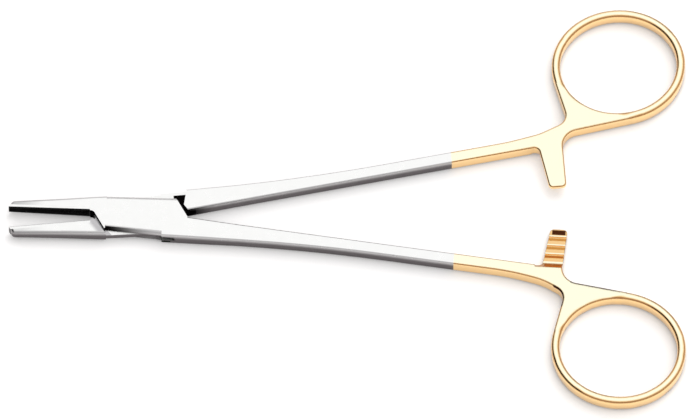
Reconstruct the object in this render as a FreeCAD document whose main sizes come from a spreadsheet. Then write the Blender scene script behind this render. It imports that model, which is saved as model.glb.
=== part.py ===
import FreeCAD, Part
import os
import Sketcher
from FreeCAD import Placement, Rotation, Vector

# Ring-handled needle holder with a box lock: two forgings that cross in the lock, a flush pin, and a
# brazed gripping plate in each jaw. Millimetres and degrees. The origin is the pin's axis at the box's
# underside, -X runs to the jaws, +X to the finger rings and +Z up. Each half is drawn in its closed
# position, along X, and then turned by half the opening at which the instrument lies.

SIZES = {
    # the lock
    "rest_opening": 8.4,
    "box_thickness": 4.6,
    "plate_thickness": 1.3,
    "web_clearance": 0.05,
    "pin_diameter": 3.2,
    "pin_clearance": 0.03,
    "shoulder_gap": 0.3,
    "box_front_x": 12.3,
    "box_front_corner_x": 9.2,
    "box_rear_x": 12.25,
    "box_rear_corner_x": 8.8,
    "box_jaw_side": 4.8,
    "box_shank_side": 4.55,
    "box_rear_jaw_side": 5.3,
    "box_rear_shank_side": 5.5,
    "box_edge_radius": 1.2,
    "closing_gap": 0.15,
    # the jaws and their inserts
    "jaw_length": 34.4,
    "jaw_tip_thickness": 3.2,
    "jaw_taper_start_x": 9.0,
    "jaw_tip_width": 2.25,
    "jaw_middle_width": 3.5,
    "jaw_middle_x": 21.0,
    "jaw_bow_radius": 60.0,
    "jaw_tip_radius": 1.1,
    "jaw_tip_slant": 0.4,
    "jaw_edge_radius": 0.85,
    "heel_radius": 1.1,
    "insert_thickness": 1.0,
    "insert_heel_x": 13.2,
    "insert_tip_gap": 0.1,
    "insert_heel_gap": 0.3,
    # the shanks
    "shank_thickness": 4.1,
    "shank_taper_start_x": 13.0,
    "shank_taper_end_x": 26.0,
    "shank_root_x": 5.8,
    "shank_root_side": 5.8,
    "shank_bow_x": 44.0,
    "shank_bow_radius": 500.0,
    "shank_width": 3.1,
    "shank_spread": 0.8,
    "shank_edge_radius": 0.45,
    # the finger rings
    "ring_centre_x": 126.95,
    "ring_centre_y": 31.35,
    "ring_lead": 0.95,
    "ring_rise": 0.55,
    "ring_hole_length": 30.6,
    "ring_hole_width": 27.6,
    "ring_band": 2.15,
    "ring_tilt": 4.0,
    "ring_edge_bevel": 0.5,
    "neck_lead": 12.0,
    "neck_radius": 3.2,
    "crotch_radius": 4.5,
    # the ratchet
    "arm_setback": 0.6,
    "arm_tip_width": 4.45,
    "arm_root_width": 5.75,
    "arm_overlap": 2.5,
    "arm_overlap_lead": 0.7,
    "arm_corner_radius": 1.2,
    "arm_root_radius": 1.5,
    "stem_depth": 6.15,
    "ramp_length": 2.1,
    "ramp_rise": 0.6,
    "ratchet_gap": 0.1,
    "tooth_pitch": 2.5,
    "tooth_land": 0.35,
    "tooth_depth": 0.8,
    "tooth_count": 4.0,
}

# Lengths that follow from the driving ones, as expressions.
MID = "(Sizes.box_thickness / 2)"
SLOT = "(Sizes.box_thickness - 2 * Sizes.plate_thickness)"
WEB = f"({SLOT} - 2 * Sizes.web_clearance)"
THINNING = "((Sizes.box_thickness - Sizes.shank_thickness) / 2)"
JAW_THINNING = "((Sizes.box_thickness - Sizes.jaw_tip_thickness) / 2)"
TIP_SEAT = "(Sizes.insert_tip_gap + Sizes.insert_thickness)"
HEEL_SEAT = "(Sizes.insert_heel_gap + Sizes.insert_thickness)"
TIP_STEEL = f"(Sizes.jaw_tip_width - {TIP_SEAT})"
JAW_ROUNDING = f"min(Sizes.jaw_edge_radius; 0.74 * {TIP_STEEL})"
TIP_ROUNDING = f"min(Sizes.jaw_tip_radius; 1.16 * {TIP_STEEL})"
RING_A = "(Sizes.ring_hole_length / 2 + Sizes.ring_band)"
RING_B = "(Sizes.ring_hole_width / 2 + Sizes.ring_band)"
ARM_X = f"(Sizes.ring_centre_x - {RING_A} - Sizes.arm_setback)"
ARM_ROOT_X = f"({ARM_X} - 0.7 * Sizes.arm_root_width)"
WALL_GAP = "(1.2 * Sizes.shoulder_gap)"
REACH = "(Sizes.box_jaw_side + 4)"


def make_sheet(doc):
    """Write the driving dimensions to a spreadsheet, one named cell each."""
    sheet = doc.addObject("Spreadsheet::Sheet", "Sizes")
    for row, (name, value) in enumerate(SIZES.items(), start=1):
        sheet.set(f"A{row}", name)
        sheet.set(f"B{row}", str(value))
        sheet.setAlias(f"B{row}", name)
    doc.recompute()
    return sheet


def ring_centre(jaw):
    """Centre of a half's finger ring. The male half's ring (jaw -1) lies a little further out and up."""
    return (f"(Sizes.ring_centre_x - {jaw} * Sizes.ring_lead)", f"(Sizes.ring_centre_y - {jaw} * Sizes.ring_rise)")


def arm_root_y(jaw):
    """Where the ratchet arm leaves the shank. The male half's shank spreads a little more."""
    return f"(Sizes.ring_centre_y - {RING_B} - Sizes.stem_depth - {jaw} * Sizes.shank_spread)"


def arm_overlap(jaw):
    """How far the ratchet arm reaches past the middle line. The two reaches add up to whole teeth."""
    return f"(Sizes.arm_overlap + {jaw} * Sizes.arm_overlap_lead)"


def inner_edge(x, jaw):
    """The shank's inner edge at x: a straight line from the box to the ratchet arm's root."""
    slope = f"(({arm_root_y(jaw)} - Sizes.closing_gap) / ({ARM_ROOT_X} - Sizes.box_rear_x))"
    return f"(Sizes.closing_gap + ({x} - Sizes.box_rear_x) * {slope})"


def origin_plane(body, role):
    return [feature for feature in body.Origin.OriginFeatures if feature.Role == role][0]


def new_sketch(body, name, role, offset=None):
    """An empty sketch on one of the body's origin planes, lifted along its normal by an expression."""
    sketch = body.newObject("Sketcher::SketchObject", name)
    sketch.AttachmentSupport = (origin_plane(body, role), [""])
    sketch.MapMode = "FlatFace"
    if offset:
        sketch.setExpression("AttachmentOffset.Base.z", offset)
    return sketch


def number(sketch, expression):
    return float(sketch.evalExpression(expression))


def tie_point(sketch, geometry, position, x, y):
    """Tie a point of the sketch to two expressions measured from the sketch's origin."""
    for kind, expression in (("DistanceX", x), ("DistanceY", y)):
        constraint = Sketcher.Constraint(kind, -1, 1, geometry, position, number(sketch, expression))
        index = sketch.addConstraint(constraint)
        sketch.setExpression(f"Constraints[{index}]", expression)


def round_corner(sketch, line_in, line_out, corner, radius):
    """Replace the corner between two lines of the sketch by a tangent arc."""
    value = number(sketch, radius)
    first = sketch.Geometry[line_in]
    second = sketch.Geometry[line_out]
    near_first = corner + (first.StartPoint - corner).normalize() * 0.01
    near_second = corner + (second.EndPoint - corner).normalize() * 0.01
    arc = sketch.GeometryCount
    sketch.fillet(line_in, line_out, near_first, near_second, value, True, True)
    index = sketch.addConstraint(Sketcher.Constraint("Radius", arc, value))
    sketch.setExpression(f"Constraints[{index}]", radius)


def draw_outline(sketch, corners):
    """Draw a closed outline through corners (x, y, corner radius or None), all of them expressions."""
    points = [Vector(number(sketch, x), number(sketch, y), 0) for x, y, _ in corners]
    count = len(points)
    for index, point in enumerate(points):
        sketch.addGeometry(Part.LineSegment(point, points[(index + 1) % count]), False)
    for index in range(count):
        sketch.addConstraint(Sketcher.Constraint("Coincident", index, 2, (index + 1) % count, 1))
    for index, (x, y, _) in enumerate(corners):
        tie_point(sketch, index, 1, x, y)
    for index, (_, _, radius) in enumerate(corners):
        if radius:
            round_corner(sketch, (index - 1) % count, index, points[index], radius)


def draw_ellipse(sketch, x, y, length, width, tilt):
    """Draw an ellipse by its centre, its two full axes and the tilt of the first one, all expressions."""
    if number(sketch, length) < number(sketch, width):
        length, width, tilt = width, length, f"{tilt} + 90"
    centre = Vector(number(sketch, x), number(sketch, y), 0)
    turn = Rotation(Vector(0, 0, 1), number(sketch, tilt))
    long_end = centre + turn.multVec(Vector(number(sketch, length) / 2, 0, 0))
    short_end = centre + turn.multVec(Vector(0, number(sketch, width) / 2, 0))
    ellipse = sketch.addGeometry(Part.Ellipse(long_end, short_end, centre), False)
    sketch.exposeInternalGeometry(ellipse)
    tie_point(sketch, ellipse, 3, x, y)
    for axis, expression in ((ellipse + 1, length), (ellipse + 2, width)):
        index = sketch.addConstraint(Sketcher.Constraint("Distance", axis, number(sketch, expression)))
        sketch.setExpression(f"Constraints[{index}]", expression)
    long_axis = sketch.Geometry[ellipse + 1]
    along = turn.inverted().multVec(long_axis.EndPoint - long_axis.StartPoint)
    turned = f"{tilt} + 180" if along.x < 0 else tilt
    index = sketch.addConstraint(Sketcher.Constraint("Angle", ellipse + 1, FreeCAD.Units.Quantity(
        f"{number(sketch, turned)} deg")))
    sketch.setExpression(f"Constraints[{index}]", turned)


def pad(body, name, sketch, length):
    feature = body.newObject("PartDesign::Pad", name)
    feature.Profile = sketch
    feature.setExpression("Length", length)
    body.Document.recompute()
    return feature


def pocket(body, name, sketch, length, direction):
    """Cut a sketch's outline out of the body: up its normal, down it, or both ways by half the length."""
    before = body.Shape.Volume
    feature = body.newObject("PartDesign::Pocket", name)
    feature.Profile = sketch
    feature.setExpression("Length", length)
    feature.Midplane = direction == "both"
    feature.Reversed = direction == "up"
    body.Document.recompute()
    if not body.Shape.Volume < before:
        raise RuntimeError(f"{name} cuts nothing")
    return feature


def soften_edges(body, name, kind, size, wanted):
    """Round (Fillet, by its radius) or bevel (Chamfer, by its size) the edges of the body's last feature that
    the test wants."""
    base = body.Tip
    names = [f"Edge{index}" for index, edge in enumerate(base.Shape.Edges, start=1) if wanted(edge)]
    feature = body.newObject(f"PartDesign::{kind}", name)
    feature.Base = (base, names)
    feature.setExpression("Radius" if kind == "Fillet" else "Size", size)
    body.Document.recompute()
    return feature


def head_corners(jaw):
    """Plan of a jaw with its end of the lock. jaw is +1 where the jaw lies on the +Y side, -1 where on -Y."""
    tip = "-Sizes.jaw_length + Sizes.jaw_tip_slant"
    corners = [
        (tip, TIP_SEAT, None),
        (f"{tip} + 0.8 * Sizes.jaw_tip_slant", "Sizes.jaw_tip_width", TIP_ROUNDING),
        ("-Sizes.jaw_middle_x", "Sizes.jaw_middle_width", "Sizes.jaw_bow_radius"),
        ("-Sizes.box_front_corner_x", "Sizes.box_jaw_side", "Sizes.jaw_bow_radius"),
        ("Sizes.box_rear_corner_x", "Sizes.box_rear_jaw_side", None),
        ("Sizes.box_rear_x", "-Sizes.closing_gap", None),
        ("Sizes.box_rear_x", "0.8 - Sizes.shank_root_side", None),
        ("Sizes.shank_root_x + 0.6", "-Sizes.box_rear_shank_side", None),
        ("-Sizes.box_front_corner_x", "-Sizes.box_shank_side", None),
        ("-Sizes.box_front_x", "Sizes.insert_heel_gap", "Sizes.heel_radius"),
        ("-Sizes.insert_heel_x", "Sizes.insert_heel_gap", None),
        ("-Sizes.insert_heel_x", HEEL_SEAT, None),
    ]
    return [(x, f"{jaw} * ({y})", radius) for x, y, radius in corners]


def insert_corners(jaw):
    """Plan of a gripping plate, from the jaw's tip to its heel."""
    corners = [
        ("-Sizes.jaw_length", "Sizes.insert_tip_gap", None),
        ("-Sizes.jaw_length + Sizes.jaw_tip_slant", TIP_SEAT, None),
        ("-Sizes.insert_heel_x", HEEL_SEAT, None),
        ("-Sizes.insert_heel_x", "Sizes.insert_heel_gap", None),
    ]
    return [(x, f"{jaw} * ({y})", radius) for x, y, radius in corners]


def tail_corners(jaw):
    """Plan of a shank with its ratchet arm and the stem that carries the ring, on the jaw's other side."""
    bow = "Sizes.shank_bow_x"
    neck = f"({ARM_X} - Sizes.neck_lead)"
    ring_x, ring_y = ring_centre(jaw)
    ring_left = f"({ring_x} - {RING_A})"
    ring_bottom = f"({ring_y} - {RING_B})"
    crotch_y = f"({ring_bottom} - 0.4 * Sizes.stem_depth)"
    root_right = f"({ARM_X} + 0.3 * Sizes.arm_root_width - {jaw} * 0.7 * Sizes.ring_lead)"
    tip_y = f"-{arm_overlap(jaw)}"
    root_left = "Sizes.shank_root_x"
    corners = [
        (root_left, "Sizes.closing_gap", None),
        (root_left, "Sizes.shank_root_side", None),
        (bow, f"{inner_edge(bow, jaw)} + Sizes.shank_width", "Sizes.shank_bow_radius"),
        (neck, f"{inner_edge(neck, jaw)} + Sizes.shank_width", "20 * Sizes.neck_radius"),
        (f"{ARM_X} - 3.5", f"{crotch_y} + 0.4", "5 * Sizes.neck_radius"),
        (f"{ring_left} + 2.75", f"{ring_bottom} + 1.05", "Sizes.neck_radius"),
        (f"{ring_left} + 0.45", f"{ring_y} - 3.7", None),
        (ring_x, ring_y, None),
        (f"{ring_x} + 1.5", f"{ring_bottom} + 0.1", None),
        (root_right, crotch_y, "Sizes.crotch_radius"),
        (f"{ARM_X} + 0.5 * Sizes.arm_tip_width", tip_y, "Sizes.arm_corner_radius"),
        (f"{ARM_X} - 0.5 * Sizes.arm_tip_width", tip_y, "Sizes.arm_corner_radius"),
        (ARM_ROOT_X, arm_root_y(jaw), "Sizes.arm_root_radius"),
        ("Sizes.box_rear_x", "Sizes.closing_gap", None),
    ]
    return [(x, f"{-jaw} * ({y})", radius) for x, y, radius in corners]


def lock_corners(jaw, relief):
    """Plan of the room that the other half takes as it crosses this one, with the gaps at its shoulders.
    relief cuts the rear shoulder back to a notch, as the forging shows beside the box."""
    front_x = f"-Sizes.box_front_x - {WALL_GAP}"
    front_corner_x = f"-Sizes.box_front_corner_x - {WALL_GAP}"
    rear_x = f"Sizes.box_rear_x + {WALL_GAP}"
    rear_corner_x = f"Sizes.box_rear_corner_x + {WALL_GAP}"
    run = "(Sizes.box_front_x - Sizes.box_front_corner_x)"
    rise = "(Sizes.box_shank_side + Sizes.insert_heel_gap)"
    corners = [
        ("-Sizes.insert_heel_x - 2", f"-{REACH}", None),
        ("-Sizes.insert_heel_x - 2", "-Sizes.insert_heel_gap", None),
        (front_x, "-Sizes.insert_heel_gap", None),
        (front_corner_x, "Sizes.box_shank_side", None),
        (f"{front_corner_x} + {run}", f"Sizes.box_shank_side + {rise}", None),
        ("Sizes.box_rear_x + 3", f"Sizes.box_shank_side + {rise}", None),
        ("Sizes.box_rear_x + 3", "Sizes.closing_gap", None),
        (rear_x, "Sizes.closing_gap", None),
    ]
    if relief:
        corners += [
            (f"{rear_x} - 0.33 * (Sizes.box_rear_x - Sizes.box_rear_corner_x)",
             "Sizes.closing_gap - 0.33 * (Sizes.closing_gap + Sizes.box_rear_jaw_side)", None),
            ("Sizes.box_rear_x + 0.25", "-Sizes.shank_root_side", None),
            ("Sizes.box_rear_x + 0.25", f"-{REACH}", None),
        ]
    else:
        corners += [
            (rear_corner_x, "-Sizes.box_rear_jaw_side", None),
            (rear_corner_x, f"-{REACH}", None),
        ]
    return [(x, f"{jaw} * ({y})", radius) for x, y, radius in corners]


def taper_corners(start, end, far, depth, top):
    """Side view of what is cut away above (or below) a slope from start to end and the flat beyond it."""
    def height(level):
        return f"Sizes.box_thickness - ({level})" if top else f"({level})"
    return [
        (start, height("0"), None),
        (end, height(depth), None),
        (far, height(depth), None),
        (far, height("-2"), None),
        (start, height("-2"), None),
    ]


def cut_tapers(body, start, end, far, depth):
    """Thin the body evenly from its top and its underside."""
    for top in (True, False):
        name = "top_taper" if top else "bottom_taper"
        sketch = new_sketch(body, f"{body.Label}_{name}_side", "XZ_Plane")
        draw_outline(sketch, taper_corners(start, end, far, depth, top))
        pocket(body, f"{body.Label}_{name}", sketch, "4 * Sizes.jaw_length", "both")


def new_body(doc, name):
    body = doc.addObject("PartDesign::Body", name)
    body.Label = name
    return body


def thin_jaw(body):
    cut_tapers(body, "-Sizes.jaw_taper_start_x", "-Sizes.jaw_length", "-Sizes.jaw_length - 8", JAW_THINNING)


def flat_edge(edge):
    """True of an edge that runs along the top or the underside, and not up a wall."""
    ends = edge.BoundBox
    return ends.ZLength < 0.5 * max(ends.XLength, ends.YLength)


def cut_off(body, start, end):
    """Cut away all of the body between two places along X."""
    sketch = new_sketch(body, f"{body.Label}_cut_off_side", "XZ_Plane")
    corners = [(start, "-1", None), (end, "-1", None), (end, "Sizes.box_thickness + 1", None),
               (start, "Sizes.box_thickness + 1", None)]
    draw_outline(sketch, corners)
    pocket(body, f"{body.Label}_cut_off", sketch, "4 * Sizes.jaw_length", "both")


def make_head(doc, name, jaw):
    """The steel of a jaw, thinned towards its tip, and the end of the lock that carries it. Their outer edges
    are rounded."""
    sheet = doc.Sizes
    seat = sheet.insert_heel_gap + sheet.insert_thickness
    side = {}
    for piece in (name, f"{name}_jaw"):
        body = new_body(doc, piece)
        plan = new_sketch(body, f"{piece}_plan", "XY_Plane")
        draw_outline(plan, head_corners(jaw))
        pad(body, f"{piece}_block", plan, "Sizes.box_thickness")
        side[piece] = body
    lock_end, jaw_end = side[name], side[f"{name}_jaw"]
    cut_off(lock_end, "-Sizes.jaw_length - 5", "-Sizes.jaw_taper_start_x")
    cut_off(jaw_end, "-Sizes.jaw_taper_start_x", "Sizes.box_rear_x + 5")
    thin_jaw(jaw_end)

    def outside_lock(edge):
        middle = edge.BoundBox.Center
        on_jaw_side = middle.y * jaw > seat and middle.x < sheet.box_rear_corner_x - 1
        on_shank_side = middle.y * jaw < -sheet.box_shank_side and middle.x < sheet.shank_root_x
        return flat_edge(edge) and edge.BoundBox.XLength > 0.01 and (on_jaw_side or on_shank_side)

    def outside_jaw(edge):
        return flat_edge(edge) and edge.BoundBox.XLength > 0.01 and edge.BoundBox.Center.y * jaw > seat + 0.05

    soften_edges(lock_end, f"{name}_rounding", "Fillet", "Sizes.box_edge_radius", outside_lock)
    soften_edges(jaw_end, f"{name}_jaw_rounding", "Fillet", JAW_ROUNDING, outside_jaw)
    join(lock_end, jaw_end)
    return lock_end


def make_ring(doc, name, jaw):
    """The finger ring, bevelled along its four edges."""
    body = new_body(doc, name)
    ring_x, ring_y = ring_centre(jaw)
    place = (ring_x, f"{-jaw} * {ring_y}")
    tilt = f"{-jaw} * Sizes.ring_tilt"
    outline = new_sketch(body, f"{name}_outline", "XY_Plane", THINNING)
    draw_ellipse(outline, *place, f"2 * {RING_A}", f"2 * {RING_B}", tilt)
    draw_ellipse(outline, *place, "Sizes.ring_hole_length", "Sizes.ring_hole_width", tilt)
    pad(body, f"{name}_band", outline, "Sizes.shank_thickness")
    soften_edges(body, f"{name}_bevel", "Chamfer", "Sizes.ring_edge_bevel", flat_edge)
    return body


def make_tail(doc, name, jaw):
    """Shank and ratchet arm with their edges rounded, and the finger ring."""
    body = new_body(doc, name)
    plan = new_sketch(body, f"{name}_plan", "XY_Plane")
    draw_outline(plan, tail_corners(jaw))
    pad(body, f"{name}_bar", plan, "Sizes.box_thickness")
    cut_tapers(body, "Sizes.shank_taper_start_x", "Sizes.shank_taper_end_x",
               f"Sizes.ring_centre_x + {RING_A} + 5", THINNING)
    root = doc.Sizes.shank_root_x

    def outside(edge):
        return flat_edge(edge) and edge.BoundBox.XLength > 0.01 and edge.BoundBox.XMax > root + 0.01

    soften_edges(body, f"{name}_rounding", "Fillet", "Sizes.shank_edge_radius", outside)
    hole = new_sketch(body, f"{name}_ring_room", "XY_Plane", MID)
    ring_x, ring_y = ring_centre(jaw)
    draw_ellipse(hole, ring_x, f"{-jaw} * {ring_y}",
                 "Sizes.ring_hole_length + Sizes.ring_band", "Sizes.ring_hole_width + Sizes.ring_band",
                 f"{-jaw} * Sizes.ring_tilt")
    pocket(body, f"{name}_ring_clearing", hole, "4 * Sizes.box_thickness", "both")
    join(body, make_ring(doc, f"{name}_ring", jaw))
    return body


def join(body, tail):
    """Fuse another body into this one, as they are one forging."""
    before = body.Shape.Volume
    feature = body.newObject("PartDesign::Boolean", f"{body.Label}_join")
    feature.Type = "Fuse"
    feature.setObjects([tail])
    body.Document.recompute()
    if body.Shape.Volume < before + 0.5 * tail.Shape.Volume:
        raise RuntimeError(f"{feature.Name} joins nothing")
    return feature


def cut_pin_hole(body, diameter):
    sketch = new_sketch(body, f"{body.Label}_pin_hole_outline", "XY_Plane", MID)
    value = number(sketch, diameter)
    circle = sketch.addGeometry(Part.Circle(Vector(0, 0, 0), Vector(0, 0, 1), value / 2), False)
    tie_point(sketch, circle, 3, "0", "0")
    index = sketch.addConstraint(Sketcher.Constraint("Diameter", circle, value))
    sketch.setExpression(f"Constraints[{index}]", diameter)
    pocket(body, f"{body.Label}_pin_hole", sketch, "4 * Sizes.box_thickness", "both")


def cut_ratchet(body, jaw):
    """Step the arm down to half its thickness, with a ramp up to the shank, and cut its teeth: on top of the
    box half's arm and under the male half's."""
    upper = jaw > 0
    crest = f"({MID} - {jaw} * Sizes.ratchet_gap / 2)"
    outside = f"({crest} + {jaw} * Sizes.box_thickness)"
    ramp_top = f"({arm_root_y(jaw)} + Sizes.ramp_rise)"
    ramp_foot = f"({ramp_top} - Sizes.ramp_length)"
    level = f"({MID} + {jaw} * Sizes.shank_thickness / 2)"
    overlap = arm_overlap(jaw)
    step = new_sketch(body, f"{body.Label}_arm_step_side", "YZ_Plane", ARM_X)
    corners = [
        (f"-{ramp_foot}", crest, None),
        (f"-{ramp_top}", level, None),
        (f"-{ramp_top}", outside, None),
        (f"{overlap} + 2", outside, None),
        (f"{overlap} + 2", crest, None),
    ]
    draw_outline(step, [(f"{jaw} * ({x})", y, radius) for x, y, radius in corners])
    pocket(body, f"{body.Label}_arm_step", step, "2 * Sizes.arm_root_width", "both")
    notch = new_sketch(body, f"{body.Label}_notch_outline", "YZ_Plane", ARM_X)
    first = f"({overlap} - Sizes.tooth_pitch + Sizes.tooth_land)"
    corners = [
        (first, crest, None),
        (first, f"{crest} + {jaw}", None),
        (overlap, f"{crest} + {jaw}", None),
        (overlap, f"{crest} - {jaw} * Sizes.tooth_depth", None),
    ]
    draw_outline(notch, [(f"{jaw} * ({x})", y, radius) for x, y, radius in corners])
    tooth = pocket(body, f"{body.Label}_notch", notch, "4 * Sizes.arm_root_width", "both")
    pattern = body.newObject("PartDesign::LinearPattern", f"{body.Label}_teeth")
    pattern.Originals = [tooth]
    pattern.Direction = (origin_plane(body, "Y_Axis"), [""])
    pattern.Reversed = upper
    pattern.Mode = "Spacing"
    pattern.setExpression("Offset", "Sizes.tooth_pitch")
    pattern.setExpression("Occurrences", "Sizes.tooth_count")
    body.Tip = pattern
    body.Document.recompute()


def make_box_half(doc):
    """The half with the box: its plates leave a slot through which the other half's web passes."""
    body = make_head(doc, "box_half", 1)
    join(body, make_tail(doc, "box_half_tail", 1))
    slot = new_sketch(body, "slot_outline", "XY_Plane", MID)
    draw_outline(slot, lock_corners(1, relief=False))
    pocket(body, "slot", slot, SLOT, "both")
    cut_pin_hole(body, "Sizes.pin_diameter")
    cut_ratchet(body, 1)
    return body


def make_male_half(doc):
    """The half whose web passes through the box."""
    body = make_head(doc, "male_half", -1)
    join(body, make_tail(doc, "male_half_tail", -1))
    for direction, sign in (("up", 1), ("down", -1)):
        cheek = new_sketch(body, f"cheek_outline_{direction}", "XY_Plane", f"{MID} + {sign} * {WEB} / 2")
        draw_outline(cheek, lock_corners(-1, relief=True))
        pocket(body, f"cheek_{direction}", cheek, "Sizes.box_thickness", direction)
    cut_pin_hole(body, "Sizes.pin_diameter + 2 * Sizes.pin_clearance")
    cut_ratchet(body, -1)
    return body


def make_insert(doc, name, jaw):
    """The gripping plate brazed to a jaw's seat, thinned with the jaw."""
    body = new_body(doc, name)
    plan = new_sketch(body, f"{name}_plan", "XY_Plane")
    draw_outline(plan, insert_corners(jaw))
    pad(body, f"{name}_plate", plan, "Sizes.box_thickness")
    thin_jaw(body)
    return body


def make_pin(doc):
    pin = doc.addObject("Part::Cylinder", "joint_pin")
    pin.setExpression("Radius", "Sizes.pin_diameter / 2")
    pin.setExpression("Height", "Sizes.box_thickness")
    return pin


def turn(objects, jaw, opening):
    """Turn one half about the pin from its closed position by half the opening."""
    for item in objects:
        item.Placement = Placement(Vector(0, 0, 0), Rotation(Vector(0, 0, 1), -jaw * opening / 2))


def check(doc, parts):
    """Stop if any feature failed to compute or any sub-part isn't one closed solid."""
    for item in doc.Objects:
        if "Invalid" in item.State or "Error" in item.State:
            raise RuntimeError(f"{item.Name} did not compute: {item.State}")
    for item in parts:
        if item.Shape.isNull() or not item.Shape.isValid():
            raise RuntimeError(f"{item.Label} has no valid shape")
        if len(item.Shape.Solids) != 1:
            raise RuntimeError(f"{item.Label} has {len(item.Shape.Solids)} solids")


def main():
    doc = FreeCAD.newDocument("NeedleHolder")
    sheet = make_sheet(doc)
    box_half = make_box_half(doc)
    male_half = make_male_half(doc)
    upper_insert = make_insert(doc, "upper_jaw_insert", 1)
    lower_insert = make_insert(doc, "lower_jaw_insert", -1)
    pin = make_pin(doc)
    turn([box_half, upper_insert, pin], 1, sheet.rest_opening)
    turn([male_half, lower_insert], -1, sheet.rest_opening)
    doc.recompute()
    parts = [box_half, male_half, pin, upper_insert, lower_insert]
    check(doc, parts)
    os.makedirs("parts", exist_ok=True)
    for item in parts:
        item.Shape.exportStep(f"parts/{item.Label}.step")
        box = item.Shape.BoundBox
        print(f"{item.Label}: {item.Shape.Volume:.1f} mm3, x {box.XMin:.2f}..{box.XMax:.2f}, "
              f"y {box.YMin:.2f}..{box.YMax:.2f}, z {box.ZMin:.2f}..{box.ZMax:.2f}")


main()
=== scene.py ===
import math

import bmesh
import bpy
from mathutils import Matrix, Vector

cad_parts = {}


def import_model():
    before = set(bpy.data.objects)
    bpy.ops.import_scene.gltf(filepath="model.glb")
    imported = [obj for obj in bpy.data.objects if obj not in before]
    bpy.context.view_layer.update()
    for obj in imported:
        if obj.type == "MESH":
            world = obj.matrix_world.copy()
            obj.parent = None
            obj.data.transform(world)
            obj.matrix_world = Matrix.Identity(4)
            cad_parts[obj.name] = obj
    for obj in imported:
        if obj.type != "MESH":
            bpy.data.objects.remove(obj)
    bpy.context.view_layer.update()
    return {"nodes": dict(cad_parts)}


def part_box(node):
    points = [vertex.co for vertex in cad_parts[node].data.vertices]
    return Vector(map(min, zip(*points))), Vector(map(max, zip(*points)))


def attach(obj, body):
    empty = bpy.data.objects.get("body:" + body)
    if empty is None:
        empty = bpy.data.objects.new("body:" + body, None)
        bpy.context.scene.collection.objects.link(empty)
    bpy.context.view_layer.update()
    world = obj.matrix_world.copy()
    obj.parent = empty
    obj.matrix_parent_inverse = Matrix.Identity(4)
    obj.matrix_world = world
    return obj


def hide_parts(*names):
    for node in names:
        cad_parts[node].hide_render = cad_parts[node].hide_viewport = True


# Looks of the ring-handled needle holder: satin steel forgings with gold-plated handles, and dark
# crosshatched gripping plates in the jaws. Metres, in the CAD frame: the pin's axis is the origin, -X runs
# to the jaws, +X to the finger rings and +Z up.

# The camera stands far off behind a long lens, and is placed by the pin's pixel in the photograph.
PHOTO_WIDTH = 700
PHOTO_HEIGHT = 420
PIN_PIXEL = (140.0, 213.2)
PIXEL_CENTRE = 0.5
METRES_PER_PIXEL = 0.26e-3
CAMERA_DISTANCE = 4.0
CAMERA_ELEVATION = math.radians(65)
CAMERA_TURN = math.radians(-0.89)
CAMERA_CLIP = (0.1, 30)
SENSOR_WIDTH = 36.0

# Each half lies turned from the middle line by half the opening, and its plating starts at one place.
HALF_OPENING = math.radians(4.2)
PLATING_START = 0.082
PLATING_FADE = 0.0003

# Colours of the flats, of the side walls from their foot to their top, and of the roundings. The side walls'
# darker colours are painted shade, the gold's pale flats a painted highlight and its dark roundings a painted
# reflection.
STEEL_TOP = (0.95, 0.95, 0.94)
STEEL_FOOT = (0.11, 0.095, 0.10)
STEEL_HIGH = (0.62, 0.61, 0.61)
GOLD_TOP = (1.0, 0.985, 0.76)
GOLD_FOOT = (1.0, 0.68, 0.32)
GOLD_HIGH = (1.0, 0.74, 0.38)
# Painted dark reflection on the gold's roundings.
GOLD_PAINTED_EDGE_REFLECTION = (0.46, 0.22, 0.08)
# Painted dark reflection on the plating, at the ratchet's tip and the necks' edges.
GOLD_PAINTED_DARK_REFLECTION = (0.07, 0.018, 0.004)
# Painted shade in and around the lock.
PAINTED_SHADE_COLOUR = (0.003, 0.0025, 0.0025)
# Painted grey shade on the male half's front shoulder.
SHOULDER_PAINTED_SHADE = (0.55, 0.54, 0.55)
# The gripping plates' dark metal, darkened to near black as painted shade.
INSERT_METAL_AND_SHADE = (0.004, 0.004, 0.0045)
FLOOR_COLOUR = (0.80, 0.785, 0.78)
BLACK = (0.0, 0.0, 0.0)

# How far a face looks up or down, from 0 on side walls to 1 on flats: where the flats' colour fades in, where
# the side walls' colour ends and over how much it does, and where the roundings' colour ends.
FLATS_FADE = (0.95, 0.995)
WALL_END = 0.25
WALL_FADE = 0.35
EDGE_FADE = (0.95, 0.90)

# The heights between which the painted shade on the side walls grows lighter.
WALL_FOOT_Z = 0.0024
WALL_TOP_Z = 0.0048

# How far the plated edges look rounded off, on the ratchet and elsewhere.
GOLD_ROUNDING = (0.0002, 0.0009)

# How rough each metal is where the mottling is weak and strong, and how strong that is.
STEEL_ROUGHNESS = (0.26, 0.36)
GOLD_ROUGHNESS = (0.07, 0.13)
INSERT_ROUGHNESS = (0.3, 0.42)
MOTTLING = (0.3, 0.7)

# The satin grain, its brushed lines and how high they stand.
GRAIN_SCALE = 9000.0
MOTTLE_SCALE = 420.0
LINE_SCALE = 5200.0
LINE_SQUEEZE = (0.05, 1.0, 1.0)
GRAIN_STRENGTH = 0.1
GRAIN_HEIGHT = 0.00002

# Rubbed edges: how unlike the face's own direction the rounded one gets, and how the line is broken up.
RUBBED_WIDTH = 0.00025
RUBBED_LIKENESS = (0.995, 0.86)
RUBBED_PATCH_SCALE = 700.0
RUBBED_PATCHES = (0.42, 0.6)
GOLD_RUBBING = 0.35
INSERT_RUBBING = 0.03
INSERT_RUBBED_WIDTH = 0.00005

# How light the painted shade leaves the steel's flats at the jaws' tips, and the stretch of X over which they
# grow fully light.
BOX_TIP_PAINTED_SHADE = 0.58
MALE_TIP_PAINTED_SHADE = 0.78
TIP_STRETCH = (-0.0335, -0.0235)

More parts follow.
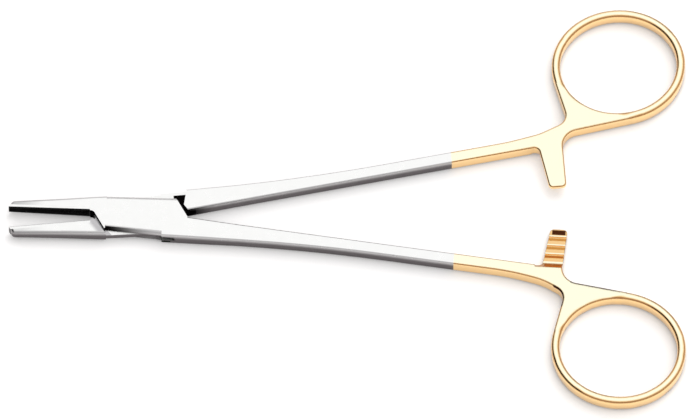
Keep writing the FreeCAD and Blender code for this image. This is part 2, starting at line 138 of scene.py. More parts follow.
# The painted grey shade on the male half's front shoulder, in its closed position: a point on it, the
# direction away from the box, where it starts along that direction, and where it fades out.
SHOULDER_PLACE = (-0.01266, 0.0003, 0.0)
SHOULDER_AWAY = (-0.8426, -0.5386, 0.0)
SHOULDER_START = -0.0012
SHOULDER_FADE = (0.0021, 0.00084)

# Where the ratchet's ramps and teeth lie in a half's closed position, along X and out from the middle line
# to their root. The edges' rounding grows from the inside to the root. The last two say how far the slopes
# look sideways, and up or down.
RATCHET_START = 0.1
RATCHET_END = 0.118
RATCHET_INSIDE = 0.0069
RATCHET_ROOT = 0.0115
SLOPE_SIDEWAYS = 0.12
SLOPE_UPRIGHT = (0.5, 0.97)

# Places of painted shade and painted dark reflection in a half's closed position. Each begins at Start along
# X and fades from Full to Gone, and lies from Near to Far along Y and from Low to High along Z. It takes in
# the faces that look up or down less than Steep, where 2 takes in all.
LOCK_FLOOR = dict(Start=0.0090, Full=0.0145, Gone=0.01451, Near=-0.005, Far=0.005,
                  Low=0.00125, High=0.00335, Steep=2.0)
BOX_HEEL = dict(Start=-0.0145, Full=-0.0100, Gone=-0.0030, Near=-0.0056, Far=0.0015,
                Low=-0.1, High=0.1, Steep=0.3)
BOX_NEAR_EDGE = dict(Start=-0.0100, Full=-0.0085, Gone=0.0050, Near=-0.0060, Far=-0.0034,
                     Low=0.0, High=0.1, Steep=0.9)
BOX_CORNER = dict(Start=0.0045, Full=0.0080, Gone=0.0081, Near=-0.0065, Far=-0.003,
                  Low=-0.1, High=0.0034, Steep=0.5)
MALE_REAR_SHOULDER = dict(Start=0.0090, Full=0.0125, Gone=0.0200, Near=-0.001, Far=0.0049,
                          Low=-0.1, High=0.1, Steep=0.3)
# The ratchet's tip and the necks' edges carry painted dark reflections.
RATCHET_TIP = dict(Start=0.1071, Full=0.1104, Gone=0.1108, Near=0.0013, Far=0.0029,
                   Low=0.0, High=0.1, Steep=2.0)
NECK_FAR_EDGE = dict(Start=0.1125, Full=0.1225, Gone=0.1285, Near=-0.0155, Far=-0.0075,
                     Low=0.0, High=0.1, Steep=0.985)
NECK_NEAR_EDGE = dict(Start=0.1082, Full=0.1110, Gone=0.1135, Near=-0.0200, Far=-0.0120,
                      Low=0.0036, High=0.1, Steep=0.95)

# The dark places of each half: painted shade in and around the lock, and painted dark reflections on the
# plating.
BOX_PAINTED_SHADE = (LOCK_FLOOR, BOX_HEEL, BOX_NEAR_EDGE, BOX_CORNER)
BOX_PAINTED_REFLECTIONS = (RATCHET_TIP, NECK_FAR_EDGE, NECK_NEAR_EDGE)
MALE_PAINTED_SHADE = (LOCK_FLOOR, MALE_REAR_SHOULDER, BOX_CORNER)

# The shading is smooth over edges up to this angle, once corners this near to each other are joined.
STEEPEST_SMOOTH = math.radians(50)
WELD_DISTANCE = 1e-6

# The gripping plates' crosshatching, and how near to each other two of a plate's corners count as level.
HATCH_STEP = 0.0003
HATCH_DEPTH = 0.00012
PLATE_BEVEL = 0.00035
SAME_LEVEL = 1e-5

# The light: a soft lamp beyond the instrument for the shadows, and a world that is bright overhead and
# towards the far side, a little darker near the horizon, and dark at two places there. A dark place of the
# world is a direction and how far it reaches.
LAMP_PLACE = (0.38, 0.62, 1.15)
LAMP_SIZE = 0.9
LAMP_POWER = 6.0
WORLD_LEAN = (0.15, 0.4, 1.0)
WORLD_CLIMB = (0.1, 0.7)
WORLD_STRENGTH = (0.7, 1.03)
WORLD_DARK = (((-0.95, -0.05, 0.3), 0.68, 0.80), ((0.42, 0.90, 0.1), 0.91, 0.95))

# The floor's size, how much it glows towards the camera and in the metal, and the painted contact shadow that
# darkens it where the instrument touches it.
FLOOR_HALF = 3.0
FLOOR_GLOW = 0.34
CONTACT_REACH = 0.0016
PAINTED_CONTACT_SHADOW = 0.5
CONTACT_OPEN = 0.9

# The Mix node's sockets for its first and second value and its result, by what it mixes.
MIX_SOCKETS = {"RGBA": (6, 7, 2), "FLOAT": (2, 3, 0)}


def node(tree, kind, location, **settings):
    """A node of a material, world or node group, with its settings and its inputs by name."""
    made = tree.nodes.new(kind)
    made.location = location
    for key, value in settings.items():
        if key in made.inputs:
            made.inputs[key].default_value = value
        else:
            setattr(made, key, value)
    return made


def feed(tree, socket, value):
    """Give a socket a plain value, a colour or another socket's output."""
    if isinstance(value, tuple) and len(value) == 3 and socket.type == "RGBA":
        socket.default_value = (*value, 1)
    elif isinstance(value, (int, float, tuple)):
        socket.default_value = value
    else:
        tree.links.new(value, socket)


def compute(tree, location, operation, *values):
    made = node(tree, "ShaderNodeMath", location, operation=operation)
    for socket, value in zip(made.inputs, values):
        feed(tree, socket, value)
    return made.outputs[0]


def ramp(tree, location, value, start, end, low=0.0, high=1.0):
    """A smooth climb from low to high while the value goes from start to end."""
    made = node(tree, "ShaderNodeMapRange", location, interpolation_type="SMOOTHSTEP")
    settings = {"Value": value, "From Min": start, "From Max": end, "To Min": low, "To Max": high}
    for name, setting in settings.items():
        feed(tree, made.inputs[name], setting)
    return made.outputs["Result"]


def mix(tree, location, first, second, share, kind="RGBA"):
    """The first value or colour where share is 0, and the second where it is 1."""
    first_socket, second_socket, result = MIX_SOCKETS[kind]
    made = node(tree, "ShaderNodeMix", location, data_type=kind)
    feed(tree, made.inputs[first_socket], first)
    feed(tree, made.inputs[second_socket], second)
    feed(tree, made.inputs[0], share)
    return made.outputs[result]


def along(tree, location, vector, direction):
    """How far a vector reaches along a direction."""
    made = node(tree, "ShaderNodeVectorMath", location, operation="DOT_PRODUCT")
    feed(tree, made.inputs[0], vector)
    feed(tree, made.inputs[1], direction)
    return made.outputs["Value"]


def new_group(name, inputs, outputs):
    """A shader node group with float sockets, and a vector for an output named Normal. inputs are (name,
    default)."""
    tree = bpy.data.node_groups.new(name, "ShaderNodeTree")
    for label, default in inputs:
        socket = tree.interface.new_socket(name=label, in_out="INPUT", socket_type="NodeSocketFloat")
        socket.default_value = default
    for label in outputs:
        kind = "NodeSocketVector" if label == "Normal" else "NodeSocketFloat"
        tree.interface.new_socket(name=label, in_out="OUTPUT", socket_type=kind)
    given = node(tree, "NodeGroupInput", (-900, 0)).outputs
    result = node(tree, "NodeGroupOutput", (900, 0)).inputs
    return tree, given, result


def make_place_group():
    """Where a point lies with its half turned back to the closed position."""
    tree, given, result = new_group("closed position", [("Turn", 0.0)], ["X", "Y", "Z"])
    coordinates = node(tree, "ShaderNodeTexCoord", (-700, 200))
    turned = node(tree, "ShaderNodeVectorRotate", (-300, 300), rotation_type="Z_AXIS")
    tree.links.new(coordinates.outputs["Object"], turned.inputs["Vector"])
    tree.links.new(compute(tree, (-500, 0), "MULTIPLY", given["Turn"], -1.0), turned.inputs["Angle"])
    place = node(tree, "ShaderNodeSeparateXYZ", (-100, 300))
    tree.links.new(turned.outputs[0], place.inputs[0])
    for axis in ("X", "Y", "Z"):
        tree.links.new(place.outputs[axis], result[axis])
    return tree


def make_facing_group():
    """The normal with edges rounded off further than the mesh has them, and how far it looks up or down: 1 on
    flats and 0 on side walls."""
    tree, given, result = new_group("rounded edges", [("Rounding", 0.0)], ["Upright", "Normal"])
    rounded = node(tree, "ShaderNodeBevel", (-500, 0), samples=8)
    facing = node(tree, "ShaderNodeSeparateXYZ", (-300, 0))
    tree.links.new(given["Rounding"], rounded.inputs["Radius"])
    tree.links.new(rounded.outputs["Normal"], facing.inputs[0])
    tree.links.new(rounded.outputs["Normal"], result["Normal"])
    tree.links.new(compute(tree, (-100, 0), "ABSOLUTE", facing.outputs["Z"]), result["Upright"])
    return tree


def make_flats_group():
    """Masks for the painted shade and highlight: Flats is 1 on flats and 0 on side walls, Edges is 1 on the
    roundings between them, and High climbs from 0 to 1 up the side walls."""
    inputs = [("Upright", 0.0), ("Z", 0.0), ("Start", FLATS_FADE[0]), ("End", FLATS_FADE[1]),
              ("Wall", WALL_END), ("Foot", WALL_FOOT_Z), ("Top", WALL_TOP_Z)]
    tree, given, result = new_group("flats and side walls", inputs, ["Flats", "Edges", "High"])
    flats = ramp(tree, (-100, 100), given["Upright"], given["Start"], given["End"])
    wall_gone = compute(tree, (-300, -100), "ADD", given["Wall"], WALL_FADE)
    off_walls = ramp(tree, (-100, -100), given["Upright"], given["Wall"], wall_gone)
    off_flats = ramp(tree, (-100, -300), given["Upright"], *EDGE_FADE)
    tree.links.new(flats, result["Flats"])
    tree.links.new(compute(tree, (200, 0), "MULTIPLY", off_walls, off_flats), result["Edges"])
    tree.links.new(ramp(tree, (-100, -500), given["Z"], given["Foot"], given["Top"]), result["High"])
    return tree


def make_satin_group():
    """What blasting and brushing leave on the metal: a fine grain, brushed lines and a mottled mask."""
    inputs = [("Grain", GRAIN_SCALE), ("Mottle", MOTTLE_SCALE)]
    tree, given, result = new_group("satin grain", inputs, ["Height", "Mottling"])
    place = node(tree, "ShaderNodeTexCoord", (-700, 200)).outputs["Object"]
    grain = node(tree, "ShaderNodeTexNoise", (-300, 300), Detail=2.0, Roughness=0.6)
    mottle = node(tree, "ShaderNodeTexNoise", (-300, -100), Detail=4.0, Roughness=0.55)
    squeeze = node(tree, "ShaderNodeMapping", (-500, 100), Scale=LINE_SQUEEZE)
    lines = node(tree, "ShaderNodeTexNoise", (-300, 100), Scale=LINE_SCALE, Detail=3.0, Roughness=0.7)
    for texture in (grain, mottle, squeeze):
        tree.links.new(place, texture.inputs["Vector"])
    tree.links.new(squeeze.outputs[0], lines.inputs["Vector"])
    tree.links.new(given["Grain"], grain.inputs["Scale"])
    tree.links.new(given["Mottle"], mottle.inputs["Scale"])
    both = compute(tree, (0, 200), "ADD", grain.outputs["Fac"], lines.outputs["Fac"])
    tree.links.new(both, result["Height"])
    tree.links.new(mottle.outputs["Fac"], result["Mottling"])
    return tree


def make_wear_group():
    """Where an edge is rubbed: 1 along sharp edges, broken up so that the line isn't even."""
    inputs = [("Width", RUBBED_WIDTH), ("Amount", 1.0)]
    tree, given, result = new_group("rubbed edges", inputs, ["Rubbed"])
    rounded = node(tree, "ShaderNodeBevel", (-700, 150), samples=4)
    geometry = node(tree, "ShaderNodeNewGeometry", (-700, -50))
    tree.links.new(given["Width"], rounded.inputs["Radius"])
    likeness = along(tree, (-500, 100), rounded.outputs["Normal"], geometry.outputs["Normal"])
    edge = ramp(tree, (-300, 100), likeness, *RUBBED_LIKENESS)
    coordinates = node(tree, "ShaderNodeTexCoord", (-900, -300))
    patches = node(tree, "ShaderNodeTexNoise", (-700, -300), Scale=RUBBED_PATCH_SCALE, Detail=3.0)
    tree.links.new(coordinates.outputs["Object"], patches.inputs["Vector"])
    broken = ramp(tree, (-500, -300), patches.outputs["Fac"], *RUBBED_PATCHES)
    both = compute(tree, (-100, 0), "MULTIPLY", edge, broken)
    tree.links.new(compute(tree, (80, 0), "MULTIPLY", both, given["Amount"]), result["Rubbed"])
    return tree


def make_dark_group():
    """A dark place, where shade and dark reflections are painted: 1 inside its bounds and 0 elsewhere, with a
    soft end along X.
    """
    names = ("X", "Y", "Z", "Upright", "Start", "Full", "Gone", "Near", "Far", "Low", "High", "Steep")
    tree, given, result = new_group("dark place", [(name, 0.0) for name in names], ["Dark"])
    dark = ramp(tree, (-500, 500), given["X"], given["Full"], given["Gone"], 1.0, 0.0)
    for first, operation, second in (
            ("X", "GREATER_THAN", "Start"), ("Y", "GREATER_THAN", "Near"), ("Y", "LESS_THAN", "Far"),
            ("Z", "GREATER_THAN", "Low"), ("Z", "LESS_THAN", "High"), ("Upright", "LESS_THAN", "Steep")):
        test = compute(tree, (-500, 300), operation, given[first], given[second])
        dark = compute(tree, (0, 0), "MULTIPLY", dark, test)
    tree.links.new(dark, result["Dark"])
    return tree


def placed_group(tree, group, location, **values):
    """A group placed in a material, with plain values or other sockets' outputs for its inputs."""
    made = node(tree, "ShaderNodeGroup", location, node_tree=group)
    for key, value in values.items():
        feed(tree, made.inputs[key], value)
    return made.outputs


def new_material(name):
    material = bpy.data.materials.new(name)
    material.use_nodes = True
    tree = material.node_tree
    tree.nodes.clear()
    output = node(tree, "ShaderNodeOutputMaterial", (900, 0))
    shader = node(tree, "ShaderNodeBsdfPrincipled", (600, 0))
    tree.links.new(shader.outputs[0], output.inputs["Surface"])
    return material, tree, shader


def finish_metal(tree, shader, groups, normal, roughness_range, plated=None):
    """Satin roughness and fine bump, shared by the metals. The plating, if there is any, is polished."""
    satin = placed_group(tree, groups["satin"], (-200, -400))
    roughness = ramp(tree, (200, -300), satin["Mottling"], *MOTTLING, *roughness_range)
    if plated is not None:
        polished = ramp(tree, (200, -900), satin["Mottling"], *MOTTLING, *GOLD_ROUGHNESS)
        roughness = mix(tree, (400, -700), roughness, polished, plated, "FLOAT")
    bump = node(tree, "ShaderNodeBump", (200, -600), Strength=GRAIN_STRENGTH, Distance=GRAIN_HEIGHT)
    tree.links.new(roughness, shader.inputs["Roughness"])
    tree.links.new(satin["Height"], bump.inputs["Height"])
    tree.links.new(normal, bump.inputs["Normal"])
    tree.links.new(bump.outputs["Normal"], shader.inputs["Normal"])
    shader.inputs["Metallic"].default_value = 1.0


def shade_by_facing(tree, flats, foot, high, top):
    """A metal's colour with painted shade: darker down its side walls, and light on its flats."""
    side = mix(tree, (-500, 100), foot, high, flats["High"])
    return mix(tree, (-300, 100), side, top, flats["Flats"])


def shade_shoulder(tree, place, top):
    """The steel's flat colour with the painted grey shade of the front shoulder in it."""
    plan = node(tree, "ShaderNodeCombineXYZ", (-1000, 600))
    tree.links.new(place["X"], plan.inputs["X"])
    tree.links.new(place["Y"], plan.inputs["Y"])
    offset = node(tree, "ShaderNodeVectorMath", (-850, 600), operation="SUBTRACT")
    tree.links.new(plan.outputs[0], offset.inputs[0])
    offset.inputs[1].default_value = SHOULDER_PLACE
    away = along(tree, (-700, 600), offset.outputs[0], SHOULDER_AWAY)
    before_end = ramp(tree, (-500, 600), away, *SHOULDER_FADE)
    after_start = compute(tree, (-500, 800), "GREATER_THAN", away, SHOULDER_START)
    # The share of painted shade on the shoulder.
    ground = compute(tree, (-400, 700), "MULTIPLY", before_end, after_start)
    return mix(tree, (-300, 600), top, SHOULDER_PAINTED_SHADE, ground)


def in_dark_place(tree, groups, place, upright, bounds):
    """1 on the faces inside a dark place's bounds."""
    dark = placed_group(tree, groups["dark"], (0, 500), X=place["X"], Y=place["Y"], Z=place["Z"],
                        Upright=upright, **bounds)
    return dark["Dark"]


def make_forging_material(name, groups, turn, tip_painted_shade, shade_places, reflection_places, shoulder):
    """Satin steel, plated with gold from one place along the shank. turn is how far the half lies turned from
    its closed position. The places of painted shade aren't metallic, since metal mirrors the white studio at
    a low angle whatever its colour."""
    material, tree, shader = new_material(name)
    place = placed_group(tree, groups["place"], (-1400, 200), Turn=turn)
    plated = ramp(tree, (-1200, 300), place["X"],
                  PLATING_START - PLATING_FADE / 2, PLATING_START + PLATING_FADE / 2)
    beside = compute(tree, (-1300, -100), "ABSOLUTE", place["Y"])
    rounding = ramp(tree, (-1200, -100), beside, RATCHET_INSIDE, RATCHET_ROOT, *GOLD_ROUNDING)
    rounding = compute(tree, (-1100, 100), "MULTIPLY", plated, rounding)
    facing = placed_group(tree, groups["facing"], (-1000, 0), Rounding=rounding)
    flats = placed_group(tree, groups["flats"], (-800, 0), Upright=facing["Upright"], Z=place["Z"])
    # Painted shade on the steel's flats, darker towards the jaws' tips.
    light = ramp(tree, (-800, 500), place["X"], *TIP_STRETCH, tip_painted_shade, 1.0)
    top = mix(tree, (-700, 400), BLACK, STEEL_TOP, light)
    if shoulder:
        top = shade_shoulder(tree, place, top)
    # Painted shade down the side walls of the steel and the gold, and a painted highlight on the gold's
    # flats.
    steel = shade_by_facing(tree, flats, STEEL_FOOT, STEEL_HIGH, top)
    gold = shade_by_facing(tree, flats, GOLD_FOOT, GOLD_HIGH, GOLD_TOP)
    # Painted dark reflection on the gold's roundings.
    gold = mix(tree, (-200, 0), gold, GOLD_PAINTED_EDGE_REFLECTION, flats["Edges"])
    wear = placed_group(tree, groups["wear"], (-600, -200), Amount=GOLD_RUBBING)
    gold = mix(tree, (-100, 0), gold, STEEL_TOP, wear["Rubbed"])
    colour = mix(tree, (50, 200), steel, gold, plated)
    metallic = 1.0
    # Painted shade in and around the lock, with the metal's shine taken out there.
    for bounds in shade_places:
        dark = in_dark_place(tree, groups, place, facing["Upright"], bounds)
        colour = mix(tree, (250, 200), colour, PAINTED_SHADE_COLOUR, dark)
        metallic = compute(tree, (250, 500), "SUBTRACT", metallic, dark)
    # Painted dark reflections on the plating, at the ratchet's tip and the necks' edges.
    for bounds in reflection_places:
        dark = in_dark_place(tree, groups, place, facing["Upright"], bounds)
        colour = mix(tree, (250, 200), colour, GOLD_PAINTED_DARK_REFLECTION, dark)
    finish_metal(tree, shader, groups, facing["Normal"], STEEL_ROUGHNESS, plated)
    tree.links.new(colour, shader.inputs["Base Color"])
    tree.links.new(compute(tree, (400, 500), "MAXIMUM", metallic, 0.0), shader.inputs["Metallic"])
    shader.inputs["Specular IOR Level"].default_value = 0.0
    return material


def make_steel_material(name, groups):
    """The pin's satin steel, the same as the forgings', with painted shade down its side walls."""
    material, tree, shader = new_material(name)
    place = placed_group(tree, groups["place"], (-900, 200))
    facing = placed_group(tree, groups["facing"], (-900, 0))
    flats = placed_group(tree, groups["flats"], (-600, 0), Upright=facing["Upright"], Z=place["Z"])
    colour = shade_by_facing(tree, flats, STEEL_FOOT, STEEL_HIGH, STEEL_TOP)
    tree.links.new(colour, shader.inputs["Base Color"])
    finish_metal(tree, shader, groups, facing["Normal"], STEEL_ROUGHNESS)
    return material


def make_insert_material(name, groups):
    """The gripping plates' hard dark metal, darkened to near black as painted shade, and light on its narrow
    top.
    """
    material, tree, shader = new_material(name)
    facing = placed_group(tree, groups["facing"], (-900, 0))
    flats = placed_group(tree, groups["flats"], (-600, 0), Upright=facing["Upright"])
    # Dark metal with painted shade on the plates' walls, light on their flats.
    colour = mix(tree, (-300, 200), INSERT_METAL_AND_SHADE, STEEL_TOP, flats["Flats"])
    wear = placed_group(tree, groups["wear"], (-300, -100), Width=INSERT_RUBBED_WIDTH, Amount=INSERT_RUBBING)
    tree.links.new(mix(tree, (0, 200), colour, STEEL_HIGH, wear["Rubbed"]), shader.inputs["Base Color"])
    finish_metal(tree, shader, groups, facing["Normal"], INSERT_ROUGHNESS)
    return material


def make_floor():
    """The pale floor. It looks white where nothing shades it, also in the metal, and keeps the shadow; a
    painted contact shadow darkens it where the instrument touches it.
    """
    mesh = bpy.data.meshes.new("floor")
    corners = [(x * FLOOR_HALF, y * FLOOR_HALF, 0) for x, y in ((-1, -1), (1, -1), (1, 1), (-1, 1))]
    mesh.from_pydata(corners, [], [(0, 1, 2, 3)])
    floor = bpy.data.objects.new("floor", mesh)
    bpy.context.scene.collection.objects.link(floor)
    material, tree, shader = new_material("pale floor")
    # A painted contact shadow: the floor's colour and glow darken close to the instrument.
    contact = node(tree, "ShaderNodeAmbientOcclusion", (-500, 0), samples=8, Distance=CONTACT_REACH)
    open_air = ramp(tree, (-300, 0), contact.outputs["AO"], 0.0, CONTACT_OPEN, PAINTED_CONTACT_SHADOW, 1.0)
    tree.links.new(mix(tree, (0, 0), BLACK, FLOOR_COLOUR, open_air), shader.inputs["Base Color"])
    shader.inputs["Roughness"].default_value = 1.0
    shader.inputs["Specular IOR Level"].default_value = 0.0
    rays = node(tree, "ShaderNodeLightPath", (-200, 300)).outputs
    seen = compute(tree, (0, 300), "MAXIMUM", rays["Is Camera Ray"], rays["Is Glossy Ray"])
    glow = compute(tree, (200, 300), "MULTIPLY", seen, FLOOR_GLOW)
    shader.inputs["Emission Color"].default_value = (1, 1, 1, 1)
    tree.links.new(compute(tree, (400, 300), "MULTIPLY", glow, open_air), shader.inputs["Emission Strength"])
    floor.data.materials.append(material)


def make_lights():
    data = bpy.data.lights.new("soft lamp", "AREA")
    data.shape = "SQUARE"
    data.size = LAMP_SIZE
    data.energy = LAMP_POWER
    lamp = bpy.data.objects.new("soft lamp", data)
    lamp.location = LAMP_PLACE
    lamp.rotation_mode = "QUATERNION"
    lamp.rotation_quaternion = Vector(LAMP_PLACE).to_track_quat("Z", "Y")
    lamp.visible_camera = False
    lamp.visible_glossy = False
    bpy.context.scene.collection.objects.link(lamp)


def make_world():
    """White to the camera. For everything else it is bright overhead, a little darker near the horizon, and
    dark at two places of the horizon, as dark things in the studio are seen in the metal's roundings."""
    world = bpy.data.worlds.new("studio")
    world.use_nodes = True
    tree = world.node_tree
    tree.nodes.clear()
    direction = node(tree, "ShaderNodeTexCoord", (-1000, 0)).outputs["Generated"]
    upwards = along(tree, (-800, 0), direction, WORLD_LEAN)
    bright = ramp(tree, (-600, 0), upwards, *WORLD_CLIMB, *WORLD_STRENGTH)
    for row, (towards, start, end) in enumerate(WORLD_DARK, start=1):
        likeness = along(tree, (-800, 200 * row), direction, towards)
        shade = ramp(tree, (-600, 200 * row), likeness, start, end, 1.0, 0.0)
        bright = compute(tree, (-400, 200 * row), "MULTIPLY", bright, shade)
    rays = node(tree, "ShaderNodeLightPath", (-400, 600)).outputs
    strength = mix(tree, (-200, 100), bright, 1.0, rays["Is Camera Ray"], "FLOAT")
    background = node(tree, "ShaderNodeBackground", (0, 0), Color=(1, 1, 1, 1))
    output = node(tree, "ShaderNodeOutputWorld", (200, 0))
    tree.links.new(strength, background.inputs["Strength"])
    tree.links.new(background.outputs[0], output.inputs["Surface"])
    bpy.context.scene.world = world


def make_camera(pin_top):
    """The camera sees the pin's top at its pixel in the photograph."""
    turn = Matrix.Rotation(CAMERA_TURN, 3, "Z")
    right = turn @ Vector((1, 0, 0))
    up = turn @ Vector((0, math.sin(CAMERA_ELEVATION), math.cos(CAMERA_ELEVATION)))
    back = turn @ Vector((0, -math.cos(CAMERA_ELEVATION), math.sin(CAMERA_ELEVATION)))
    across = (PIN_PIXEL[0] + PIXEL_CENTRE - PHOTO_WIDTH / 2) * METRES_PER_PIXEL
    down = (PIN_PIXEL[1] + PIXEL_CENTRE - PHOTO_HEIGHT / 2) * METRES_PER_PIXEL
    data = bpy.data.cameras.new("camera")
    data.sensor_width = SENSOR_WIDTH
    data.lens = SENSOR_WIDTH * CAMERA_DISTANCE / (PHOTO_WIDTH * METRES_PER_PIXEL)
    data.clip_start, data.clip_end = CAMERA_CLIP
    camera = bpy.data.objects.new("camera", data)
    place = Vector((0, 0, pin_top)) + back * CAMERA_DISTANCE - right * across + up * down
    camera.matrix_world = Matrix.Translation(place) @ Matrix((right, up, back)).transposed().to_4x4()
    bpy.context.scene.collection.objects.link(camera)
    bpy.context.scene.camera = camera


def ratchet_faces(tree, turn):
    """False on the ratchet's ramp and tooth slopes, which stay flat, and true on all other faces."""
    back = compute(tree, (-1400, 300), "MULTIPLY", turn, -1.0)
    sides = []
    for kind, row in (("GeometryNodeInputPosition", 300), ("GeometryNodeInputNormal", 0)):
        source = node(tree, kind, (-1400, row - 100))
        turned = node(tree, "ShaderNodeVectorRotate", (-1200, row), rotation_type="Z_AXIS")
        tree.links.new(source.outputs[0], turned.inputs["Vector"])
        tree.links.new(back, turned.inputs["Angle"])
        axes = node(tree, "ShaderNodeSeparateXYZ", (-1000, row))
        tree.links.new(turned.outputs[0], axes.inputs[0])
        sides.append(axes.outputs)
    place, facing = sides
    slope = 1.0
    for axis, operation, bound in (
            (place["X"], "GREATER_THAN", RATCHET_START), (place["X"], "LESS_THAN", RATCHET_END),
            (place["Y"], "LESS_THAN", RATCHET_ROOT), (facing["X"], "LESS_THAN", SLOPE_SIDEWAYS),
            (facing["Z"], "GREATER_THAN", SLOPE_UPRIGHT[0]), (facing["Z"], "LESS_THAN", SLOPE_UPRIGHT[1])):
        size = compute(tree, (-800, 300), "ABSOLUTE", axis)
        test = compute(tree, (-600, 300), operation, size, bound)
        slope = compute(tree, (-400, 300), "MULTIPLY", slope, test)
    return compute(tree, (-300, 300), "LESS_THAN", slope, 0.5)


def make_soft_shading_group():
    """Smooth shading over shallow edges, with the steeper ones kept sharp."""
    tree = bpy.data.node_groups.new("smooth shallow edges", "GeometryNodeTree")
    tree.is_modifier = True
    tree.interface.new_socket(name="Geometry", in_out="INPUT", socket_type="NodeSocketGeometry")
    for name, default in (("Steepest", STEEPEST_SMOOTH), ("Turn", 0.0)):
        socket = tree.interface.new_socket(name=name, in_out="INPUT", socket_type="NodeSocketFloat")
        socket.default_value = default
    tree.interface.new_socket(name="Geometry", in_out="OUTPUT", socket_type="NodeSocketGeometry")
    inputs = node(tree, "NodeGroupInput", (-600, 0))
    smooth = node(tree, "GeometryNodeSetShadeSmooth", (-200, 0), domain="FACE")
    angle = node(tree, "GeometryNodeInputMeshEdgeAngle", (-600, -200))
    steep = node(tree, "FunctionNodeCompare", (-400, -200), data_type="FLOAT", operation="GREATER_THAN")
    sharp = node(tree, "GeometryNodeSetShadeSmooth", (0, 0), domain="EDGE")
    sharp.inputs["Shade Smooth"].default_value = False
    outputs = node(tree, "NodeGroupOutput", (200, 0))
    tree.links.new(inputs.outputs["Geometry"], smooth.inputs["Geometry"])
    tree.links.new(ratchet_faces(tree, inputs.outputs["Turn"]), smooth.inputs["Shade Smooth"])
    tree.links.new(angle.outputs["Unsigned Angle"], steep.inputs[0])
    tree.links.new(inputs.outputs["Steepest"], steep.inputs[1])
    tree.links.new(smooth.outputs["Geometry"], sharp.inputs["Geometry"])
    tree.links.new(steep.outputs["Result"], sharp.inputs["Selection"])
    tree.links.new(sharp.outputs["Geometry"], outputs.inputs["Geometry"])
    return tree


def shade_softly(piece, group, turn):
    """Join the faces' corners, smooth the shallow edges, and let the large flats lead the shading. turn is
    how far the piece lies turned from its closed position."""
    weld = piece.modifiers.new("join corners", "WELD")
    weld.merge_threshold = WELD_DISTANCE
    smooth = piece.modifiers.new("smooth shallow edges", "NODES")
    smooth.node_group = group
    smooth[group.interface.items_tree["Turn"].identifier] = turn
    weighted = piece.modifiers.new("flats lead", "WEIGHTED_NORMAL")
    weighted.keep_sharp = True
    weighted.mode = "FACE_AREA"


def paint(piece, material):
    piece.data.materials.clear()
    piece.data.materials.append(material)


def plate_corners(insert, jaw, turn):
    """A gripping plate's plan in its closed position, as (x, y, half height) of its gripping face's tip and
    heel and of its back's tip and heel, with y counted away from the middle line."""
    back = Matrix.Rotation(-turn, 3, "Z")
    corners = [back @ vertex.co for vertex in bpy.data.objects[insert].data.vertices]
    middle_x = sum(corner.x for corner in corners) / len(corners)
    low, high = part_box(insert)
    middle_z = (low.z + high.z) / 2

    def corner(at_tip, at_face):
        near = [point for point in corners if (point.x < middle_x) == at_tip]
        near.sort(key=lambda point: point.y * jaw)
        kept = near[0] if at_face else near[-1]
        same = [point for point in near if abs(point.y - kept.y) < SAME_LEVEL]
        return kept.x, kept.y * jaw, max(abs(point.z - middle_z) for point in same)

    return [corner(True, True), corner(False, True), corner(True, False), corner(False, False)], middle_z


def blend_points(first, second, share):
    return [a * (1 - share) + b * share for a, b in zip(first, second)]


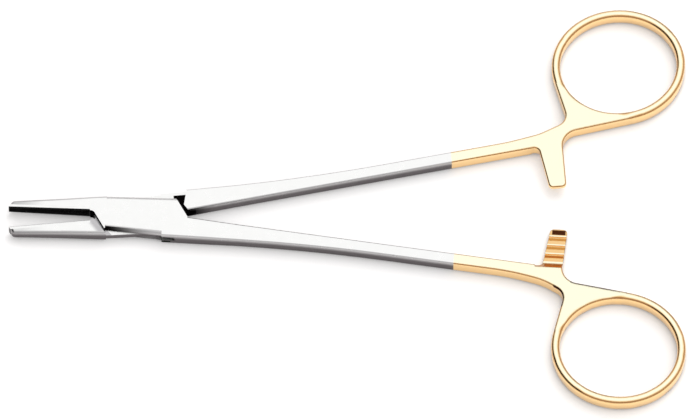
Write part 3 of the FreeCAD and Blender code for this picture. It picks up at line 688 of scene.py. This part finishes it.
def make_hatched_plate(name, insert, jaw, turn):
    """A gripping plate with a crosshatch of small pyramids on its gripping face, in its CAD solid's place."""
    (face_tip, face_heel, back_tip, back_heel), middle = plate_corners(insert, jaw, turn)
    columns = round((face_heel[0] - face_tip[0]) / HATCH_STEP)
    rows = round(2 * (face_heel[2] - PLATE_BEVEL) / HATCH_STEP)
    mesh = bmesh.new()
    loops = []
    for column in range(columns + 1):
        x, y, half = blend_points(face_tip, face_heel, column / columns)
        back_x, back_y, back_half = blend_points(back_tip, back_heel, column / columns)
        loop = []
        for row in range(rows + 1):
            z = middle + (half - PLATE_BEVEL) * (2 * row / rows - 1)
            inside = 0 < column < columns and 0 < row < rows
            peak = inside and (column + row) % 2 == 1
            loop.append(mesh.verts.new((x, jaw * (y + (0 if peak else HATCH_DEPTH)), z)))
        loop.append(mesh.verts.new((x, jaw * (y + PLATE_BEVEL), middle + half)))
        loop.append(mesh.verts.new((back_x, jaw * back_y, middle + back_half)))
        loop.append(mesh.verts.new((back_x, jaw * back_y, middle - back_half)))
        loop.append(mesh.verts.new((x, jaw * (y + PLATE_BEVEL), middle - half)))
        loops.append(loop)
    count = len(loops[0])
    for column in range(columns):
        for index in range(count):
            after = (index + 1) % count
            low, next_low = loops[column][index], loops[column + 1][index]
            high, next_high = loops[column][after], loops[column + 1][after]
            if index >= rows:
                mesh.faces.new((low, next_low, next_high, high))
            elif (column + index) % 2 == 0:
                mesh.faces.new((low, next_low, next_high))
                mesh.faces.new((low, next_high, high))
            else:
                mesh.faces.new((low, next_low, high))
                mesh.faces.new((next_low, next_high, high))
    mesh.faces.new(loops[0])
    mesh.faces.new(loops[-1][::-1])
    bmesh.ops.recalc_face_normals(mesh, faces=mesh.faces[:])
    data = bpy.data.meshes.new(name)
    mesh.to_mesh(data)
    mesh.free()
    data.transform(Matrix.Rotation(turn, 4, "Z"))
    plate = bpy.data.objects.new(name, data)
    bpy.context.scene.collection.objects.link(plate)
    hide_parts(insert)
    return plate


def main():
    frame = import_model()
    groups = {
        "place": make_place_group(),
        "facing": make_facing_group(),
        "flats": make_flats_group(),
        "satin": make_satin_group(),
        "wear": make_wear_group(),
        "dark": make_dark_group(),
    }
    nodes = frame["nodes"]
    shading = make_soft_shading_group()
    paint(nodes["box_half"], make_forging_material(
        "box half plated steel", groups, -HALF_OPENING, BOX_TIP_PAINTED_SHADE, BOX_PAINTED_SHADE, BOX_PAINTED_REFLECTIONS, shoulder=False))
    paint(nodes["male_half"], make_forging_material(
        "male half plated steel", groups, HALF_OPENING, MALE_TIP_PAINTED_SHADE, MALE_PAINTED_SHADE, (), shoulder=True))
    paint(nodes["joint_pin"], make_steel_material("pin steel", groups))
    insert_material = make_insert_material("gripping plate metal", groups)
    for insert, jaw, turn, body in (("upper_jaw_insert", 1, -HALF_OPENING, "box_side"),
                                    ("lower_jaw_insert", -1, HALF_OPENING, "male_side")):
        paint(nodes[insert], insert_material)
        plate = make_hatched_plate(f"hatched_{insert}", insert, jaw, turn)
        paint(plate, insert_material)
        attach(plate, body)
    for name, turn in (("box_half", -HALF_OPENING), ("male_half", HALF_OPENING), ("joint_pin", 0.0)):
        shade_softly(nodes[name], shading, turn)
    make_floor()
    make_lights()
    make_world()
    make_camera(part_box("joint_pin")[1].z)
    bpy.context.scene.view_settings.view_transform = "Standard"


main()
